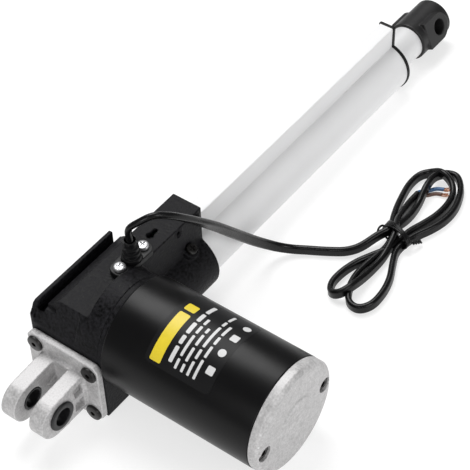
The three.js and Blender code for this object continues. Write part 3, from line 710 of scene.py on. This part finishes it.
def gland_bolts():
    seat = STRIP["z"] + COVER["thick"] + GAP
    for i, x in enumerate(GLAND["screws"]):
        head = screw_head(place(x, GLAND["screw_y"], seat, "Z"), turn=0.5 + i, r=3.25, height=2.25,
                          recess=cross_slot(1.9, 0.85), depth=1.1, dome=1.1, shank=5.0, shank_r=1.5, n=160)
        piece(f"gland_bolt_{i + 1}", head, "zinc_screw", f"gland_screw_{i + 1}")


def socket_bolts():
    for name, side in (("left", -1), ("right", 1)):
        head = screw_head(lug_frame(side, LUG["to"] + GAP), turn=0.0, r=3.15, height=2.15,
                          recess=cross_slot(1.9, 0.85), depth=1.1, dome=0.9, shank=3.0, shank_r=1.4, n=160)
        piece(f"socket_bolt_{name}", head, "black_screw", f"socket_screw_{name}")


def motor_bolts():
    """The two long bolts that hold the bell, the can and the housing together."""
    seat = -MOTOR["y1"] - BELL["seat"] - GAP
    for i, (x, z) in enumerate(MOTOR_BOLTS):
        head = screw_head(place(x, seat, z, "-Y"), turn=0.4 + i, r=3.9, height=2.85,
                          recess=hexagon(3.2), depth=1.8, dome=0.7, shank=0.4, shank_r=BOLT["r"])
        rod = rod_of(0.55, BOLT["long"], BOLT["r"], place(x, seat, z, "Y"), 32, 0.4)
        piece(f"motor_bolt_head_{i + 1}", joined(head, rod), "black_screw", f"motor_bolt_{i + 1}")


# -------------------------------------------------------------------- castings
def clevis():
    """The cast plate with its two eyes, their ribs and webs, and a raised ring round them."""
    z, inside = EAR["z"], PLATE_X + 1
    added = []
    for side in (1, -1):
        rib = sorted((side * (EAR["out"] - RIB["root"]), side * (EAR["out"] + RIB["proud"])))
        added.append(block(RIB["x0"], inside, *rib, z - RIB["half"], z + RIB["half"]))
        web = [(PLATE_X - WEB["long"], z), (inside, z - WEB["half"]), (inside, z + WEB["half"])]
        depth = sorted((side * (EAR["gap"] + WEB["thick"]), side * (EAR["gap"] - WEB["thick"])))
        added.append(prism(web, *depth, SIDE_VIEW))
    shoulder, (r0, r1, r2) = PLATE_X - RING["shoulder"], RING["crest_r"]
    outline = [(shoulder, r0), (PLATE_X - RING["high"], r1), (shoulder, r2), (inside, RING["r"]),
               (inside, RING["bore"])]
    ring = turned(soften(outline, 0.5, closed=True), place(0, 0, z, "X"), 144, closed=True)
    wells = [rod_of(WELL["from"], WELL["to"], WELL["r"], place(PLATE_X - 0.5, y, z, "X"), 48)
             for y, z in CLEVIS_SCREWS]
    base = cast(joined(cad("rear_clevis"), *added), VOXEL["alloy"])
    mesh = cast(joined(base, carved(ring, *wells)), VOXEL["alloy"])
    piece("clevis_casting", mesh, "cast_alloy", "rear_clevis", sharp=None)


def clevis_bushes():
    """The flanged bushes in the two eyes."""
    foot, seat, end = EAR["gap"] - HAIR, BUSH["seat"], BUSH["end"]
    outline = [(foot, PIN_R), (end, PIN_R), (end, BUSH["flange_r"] - 1.0), (end - 0.3, BUSH["flange_r"]),
               (seat, BUSH["flange_r"]), (seat, BUSH["r"]), (foot, BUSH["r"])]
    for name, along in (("left", "Y"), ("right", "-Y")):
        at = place(EAR["hole"], 0, EAR["z"], along)
        bush = turned(soften(outline, 0.5, closed=True), at, 128, closed=True)
        piece(f"pin_bush_{name}", bush, "bush_black", f"clevis_bush_{name}")


def gear_case():
    """The black casting: the CAD's body with a rounder neck, socket and bosses, and small recesses."""
    top = STRIP["z"]
    neck = ring_of(NECK["from"], NECK["to"], NECK["bore"], NECK["r"], MOTOR_FRAME, 192, 0.5)
    socket = ring_of(SOCKET["x0"], SOCKET["x1"], SOCKET["bore"], SOCKET["r"], place(along="X"), 160, 0.5)
    lugs = [ring_of(LUG["from"], LUG["to"], LUG["bore"], LUG["r"], lug_frame(side), 64) for side in (1, -1)]
    dimple_frames = [place(x, -STRIP["y"], z, "-Y") for x, z in DIMPLE["places"]]
    dimples = [ring_of(-0.6, DIMPLE["proud"], DIMPLE["bore"], DIMPLE["r"], at, 64, 0.2)
               for at in dimple_frames]
    above_strip = block(0, 120, -60, 60, top, top + 60)
    low, high = top - KEYHOLE["deep"], top + 1
    holes = [block(*KEYHOLE["slot"], -KEYHOLE["half"], KEYHOLE["half"], low, high),
             rod_of(low, high, KEYHOLE["r"], place(KEYHOLE["x"], 0, 0, "Z"), 48)]
    holes += [rod_of(-DIMPLE["deep"], 1, DIMPLE["pit_r"], at, 48) for at in dimple_frames]
    body = carved(cad("gear_housing"), *holes)
    mesh = cast(joined(body, carved(neck, above_strip), socket, *lugs, *dimples), VOXEL["case"], 2)
    piece("gear_case", mesh, "casting_black", "gear_housing", sharp=None)


def motor_flange():
    ring = ring_of(FLANGE["from"], FLANGE["to"], FLANGE["bore"], FLANGE["r"], MOTOR_FRAME, 192, 0.1)
    piece("flange_ring", ring, "casting_black", "motor_flange")


# ------------------------------------------------------------------- the gland
def gland_cover():
    """An oval plate with a bore for the boot and two screw holes."""
    outline = []
    for k in range(96):
        a = 2 * math.pi * k / 96
        x = GLAND["screws"][1 if math.cos(a) > 0 else 0] + COVER["end_r"] * math.cos(a)
        outline.append((x, GLAND["screw_y"] + COVER["half"] * math.sin(a)))
    bore = circle(COVER["bore"], 64, GLAND["x"], GLAND["y"])
    holes = [circle(COVER["screw_r"], 32, x, GLAND["screw_y"]) for x in GLAND["screws"]]
    low, high = STRIP["z"] + GAP, STRIP["z"] + COVER["thick"]
    plate = slab([outline, bore] + holes, low, high, place(along="Z"), 0.45)
    piece("gland_cover", plate, "black_plastic", "gland_plate")


def gland_boot():
    """The ribbed boot round the lead: each rib is a collar and the groove above it."""
    foot, top = STRIP["z"] + GAP, GLAND["top"]
    side = [(foot, BOOT["foot_r"]), (foot + BOOT["foot"], BOOT["foot_r"])]
    for k in range(BOOT["ribs"]):
        h = foot + BOOT["first"] + BOOT["pitch"] * k
        r = BOOT["r"] - BOOT["taper"] * k
        groove = r - BOOT["groove"]
        side += [(h, r), (h + 1.5, r - 0.15), (h + 1.8, groove + 0.1), (h + 3.0, groove)]
    side += [(top - 1.0, BOOT["bore"] + 0.75), (top, BOOT["bore"] + 0.5), (top, BOOT["bore"]),
             (foot, BOOT["bore"])]
    at = place(GLAND["x"], GLAND["y"], 0, "Z")
    sleeve = turned(soften(side, 0.25, 3, closed=True), at, 96, closed=True)
    piece("gland_boot", sleeve, "black_plastic", "gland_sleeve", sharp=40)


# -------------------------------------------------------------------- the tube
def keyed_outline(r, half, top, corner=0.9, fillet=1.2):
    """A circle with an upright rectangular key, its corners rounded."""
    side = math.asin(half / r)
    outline = []
    steps = 150
    first, last = math.pi / 2 + side, math.pi / 2 - side + 2 * math.pi
    for k in range(steps + 1):
        a = first + (last - first) * k / steps
        outline.append((r * math.cos(a), r * math.sin(a)))
    foot = r * math.cos(side) + fillet
    key = soften([outline[-1], (half, foot), (half, top), (-half, top), (-half, foot), outline[0]], corner)
    return outline + key[1:-1]


def outer_tube():
    """The extrusion: a round tube with a hollow key on top."""
    half, low, high = TUBE["key"] - 1.5, TUBE["r"] - 0.6, TUBE["top"] - 1.6
    hollow = soften([(-half, low), (half, low), (half, high), (-half, high)], 0.6, closed=True)
    outline = keyed_outline(TUBE["r"], TUBE["key"], TUBE["top"])
    mesh = slab([outline, circle(TUBE["bore"]), hollow], TUBE["x0"], TUBE["x1"], place(along="X"), 0.15)
    piece("tube_extrusion", mesh, "tube_anodised", "outer_tube", sharp=25)


def end_cap():
    """The black cap on the tube's end and its collar inside the bore."""
    outline = keyed_outline(TUBE["r"] + CAP["proud"], CAP["key"], TUBE["top"] + 0.4, 1.1)
    cap = slab([outline, circle(CAP["bore"])], TUBE["x1"] + GAP, CAP["x1"], place(along="X"), 0.3)
    collar = ring_of(TUBE["x1"] - CAP["collar"], TUBE["x1"] + 0.6, CAP["bore"], TUBE["bore"] - 0.1,
                     place(along="X"), 128, 0.2)
    piece("tube_end_cap", joined(cap, collar), "black_plastic", "end_cap")


def wiper_seal():
    """The ring of soft plastic that the rod slides through."""
    x0, x1, r = WIPER["x0"], WIPER["x1"], WIPER["r"]
    lip = [(x0, WIPER["bore"]), (x1, WIPER["bore"]), (x1 - 0.4, r - 0.6), (x1 - 1.2, r), (x0, r)]
    seal = turned(soften(lip, 0.25, closed=True), place(along="X"), 128, closed=True)
    piece("rod_wiper", seal, "black_plastic", "wiper_seal")


def push_rod():
    rod = ring_of(ROD["x0"], ROD["x1"], ROD["bore"], ROD["r"], place(along="X"), 160, 0.3)
    piece("push_rod", rod, "rod_steel", "rod_tube", body="rod", sharp=40)


def rod_end():
    """The black end: a round body with an arched flat pad on each side of its cross hole."""
    x0, x1, r = END["x0"], END["x1"], END["r"]
    shape = [(END["plug"], 0), (END["plug"], END["plug_r"]), (x0, END["plug_r"]), (x0, r - 0.4),
             (x0 + 0.4, r), (x1 - 1.6, r), (x1, r - 1.6), (x1, 0)]
    body = turned(shape, place(along="X"), 192)
    arch = [(PAD["x0"], -PAD["half"])]
    for k in range(41):
        a = math.pi * (k / 40 - 0.5)
        arch.append((END["hole"] + PAD["half"] * math.cos(a), PAD["half"] * math.sin(a)))
    arch.append((PAD["x0"], PAD["half"]))
    pads = prism(arch, -PAD["face"], PAD["face"], SIDE_VIEW)
    hole = rod_of(-20, 20, PIN_R, place(END["hole"], 0, 0, "Y"))
    for mesh in (pads, hole):
        mesh.transform(Matrix.Rotation(math.radians(END["turn"]), 4, "X"))
    mesh = cast(joined(carved(body, hole), carved(pads, hole)), VOXEL["rod_end"])
    piece("rod_eye", mesh, "casting_black", "rod_end", body="rod", finish="rod_end_black", sharp=None)


# ------------------------------------------------------------------- the motor
def motor_can():
    """The drawn steel can, closed at the housing's end but for the shaft's hole."""
    start, end, r = CAN["from"], MOTOR["y1"] - GAP, MOTOR["r"]
    shell = soften([(start, CAN["shaft_bore"]), (start, r - 1.2), (start + 0.95, r), (end, r),
                    (end, CAN["bore"]), (start + CAN["wall"], CAN["bore"]),
                    (start + CAN["wall"], CAN["shaft_bore"])], 0.5, closed=True)
    piece("motor_shell", turned(shell, MOTOR_FRAME, 224, closed=True), "can_black", "motor_can", sharp=40)


def motor_bell():
    """The cast end bell: a low boss in the middle, a bearing seat inside and two sunk bolt seats."""
    start, face, r = MOTOR["y1"], MOTOR["y2"], MOTOR["r"] - 0.1
    boss = BELL["boss_r"]
    shape = [(start, 0), (start, r), (face - 1.9, r), (face - 0.9, r - 0.8), (face, r - 2.2),
             (face, boss + 0.8), (face + 0.75, boss), (face + 0.75, 0)]
    body = turned(soften(shape, 0.3), MOTOR_FRAME, 192)
    cutters = [rod_of(start - 1, start + BELL["bearing"], BELL["bearing_r"], MOTOR_FRAME, 64)]
    for x, z in MOTOR_BOLTS:
        at = place(x, 0, z, "-Y")
        cutters.append(rod_of(start + BELL["seat"], face + 3, BELL["seat_r"], at, 64))
        cutters.append(rod_of(start - 1, face, BELL["bolt_bore"], at, 48))
    mesh = cast(carved(body, *cutters), VOXEL["alloy"])
    piece("motor_end_bell", mesh, "cast_alloy", "motor_end_cap", sharp=None)


# ------------------------------------------------------------------- the label
# A plain nameplate: a yellow band, rows of white bars and four simple marks. Its places
# are (distance from the spindle's axis towards the motor's end, angle from +X in degrees).
LABEL = {"from": 48.5, "to": 87.5, "angles": (143, 50), "corner": 3.0, "lift": 0.10, "print": 0.16,
         "sunk": 0.25}
BAND = {"from": 51.2, "to": 57.6, "angles": ((139.5, 86), (82, 72)), "corner": 0.9}
BARS = [  # start, height, first angle, and the length of each bar in degrees
    (61.0, 2.2, 133, (16, 9, 13, 11, 15)), (65.2, 1.5, 136, (10, 22, 9, 8)),
    (68.9, 1.5, 136, (8, 14, 12, 6)), (72.6, 1.5, 136, (14, 10, 26, 7, 12)),
    (76.3, 1.5, 136, (19, 12, 9, 14)),
]
BAR_SPACE = 2.6
MARKS = {"from": 81.0, "to": 85.2, "angles": (126, 107, 88, 69), "wide": 8, "corners": (0.7, 2.05)}


def on_can(m, degrees, r):
    """A body point m along the motor from the spindle's axis, at an angle from +X."""
    a = math.radians(degrees)
    return Vector((MOTOR["x"] + r * math.cos(a), -m, MOTOR["z"] + r * math.sin(a)))


def patch(rows, lift):
    """A thin curved sheet on the can from rows of (m, first angle, last angle)."""
    steps = 40
    verts, faces = [], []
    for depth in (lift, -LABEL["sunk"]):
        for m, a0, a1 in rows:
            verts += [on_can(m, a0 + (a1 - a0) * k / steps, MOTOR["r"] + depth) for k in range(steps + 1)]
    span, layer = steps + 1, (steps + 1) * len(rows)
    for i in range(len(rows) - 1):
        for k in range(steps):
            a, b = i * span + k, (i + 1) * span + k
            faces.append((a, a + 1, b + 1, b))
            faces.append((layer + a, layer + b, layer + b + 1, layer + a + 1))
    rim = list(range(span)) + [i * span + steps for i in range(1, len(rows))]
    rim += [(len(rows) - 1) * span + k for k in range(steps - 1, -1, -1)]
    rim += [i * span for i in range(len(rows) - 2, 0, -1)]
    for a, b in zip(rim, rim[1:] + rim[:1]):
        faces.append((a, b, layer + b, layer + a))
    return mesh_of("patch", verts, faces)


def rounded_patch(m0, m1, a0, a1, corner, lift, steps=6):
    """A patch with rounded corners; corner is in mm, and a0 is the larger angle."""
    degrees = math.degrees(1 / MOTOR["r"])
    rows = []
    for end, way in ((m0, 1), (m1, -1)):
        part = []
        for k in range(steps + 1):
            t = math.pi / 2 * k / steps
            inset = corner * (1 - math.sin(t)) * degrees
            part.append((end + way * corner * (1 - math.cos(t)), a0 - inset, a1 + inset))
        rows += part if way > 0 else part[::-1]
    return patch(rows, lift)


def motor_label():
    """The sheet and its print, in three colours."""
    lift = LABEL["print"]
    sheet = rounded_patch(LABEL["from"], LABEL["to"], *LABEL["angles"], LABEL["corner"], LABEL["lift"])
    piece("motor_label", sheet, "black_plastic", finish="label_black", sharp=40)
    yellow = [rounded_patch(BAND["from"], BAND["to"], *angles, BAND["corner"], lift)
              for angles in BAND["angles"]]
    piece("label_band", joined(*yellow), "black_plastic", finish="label_yellow", sharp=40)
    white = []
    for m, height, angle, bars in BARS:
        for bar in bars:
            white.append(rounded_patch(m, m + height, angle, angle - bar, height * 0.3, lift, 3))
            angle -= bar + BAR_SPACE
    for k, angle in enumerate(MARKS["angles"]):
        corner = MARKS["corners"][k % 2]
        white.append(rounded_patch(MARKS["from"], MARKS["to"], angle, angle - MARKS["wide"], corner, lift))
    piece("label_marks", joined(*white), "black_plastic", finish="label_white", sharp=40)


for make in (cord, clevis_bolts, gland_bolts, socket_bolts, motor_bolts, clevis, clevis_bushes, gear_case,
             motor_flange, gland_cover, gland_boot, outer_tube, end_cap, wiper_seal, push_rod, rod_end,
             motor_can, motor_bell, motor_label):
    make()

# The CAD nodes that stay, all inside the casings, take their slot's finish.
slot_of = {part["node"]: part["material_slot"] for part in record["subparts"]}
for node, obj in frame["nodes"].items():
    if not obj.hide_render:
        obj.data.materials.clear()
        obj.data.materials.append(FINISH[slot_of[node]])

# ------------------------------------------------------------- floor and light
FLOOR_HALF = 4.0
floor_corners = [(x * FLOOR_HALF, y * FLOOR_HALF, 0) for x, y in ((-1, -1), (1, -1), (1, 1), (-1, 1))]
floor = bpy.data.objects.new("floor", mesh_of("floor", floor_corners, [(0, 1, 2, 3)]))
floor.data.materials.append(FINISH["floor_paper"])
scene.collection.objects.link(floor)


def softbox(name, at, target, size, power):
    """A rectangular lamp, in metres and watts, turned towards its target."""
    light = bpy.data.lights.new(name, "AREA")
    light.shape = "RECTANGLE"
    light.size, light.size_y = size
    light.energy = power
    lamp = bpy.data.objects.new(name, light)
    lamp.location = at
    aim = Vector(target) - Vector(at)
    lamp.rotation_euler = aim.to_track_quat("-Z", "Y").to_euler()
    scene.collection.objects.link(lamp)


softbox("top", (0.34, 0.40, 1.20), (-0.1, 0, 0.03), (0.8, 0.8), 15)
softbox("left", (-1.35, -0.30, 0.65), (-0.1, 0, 0.03), (0.7, 0.7), 6)
softbox("front", (-0.25, -1.30, 0.70), (-0.05, 0, 0.03), (0.7, 0.6), 6)
world = bpy.data.worlds.new("studio")
world.use_nodes = True
world.node_tree.nodes["Background"].inputs["Color"].default_value = (1, 1, 1, 1)
world.node_tree.nodes["Background"].inputs["Strength"].default_value = 0.24
scene.world = world
scene.view_settings.view_transform = "Standard"
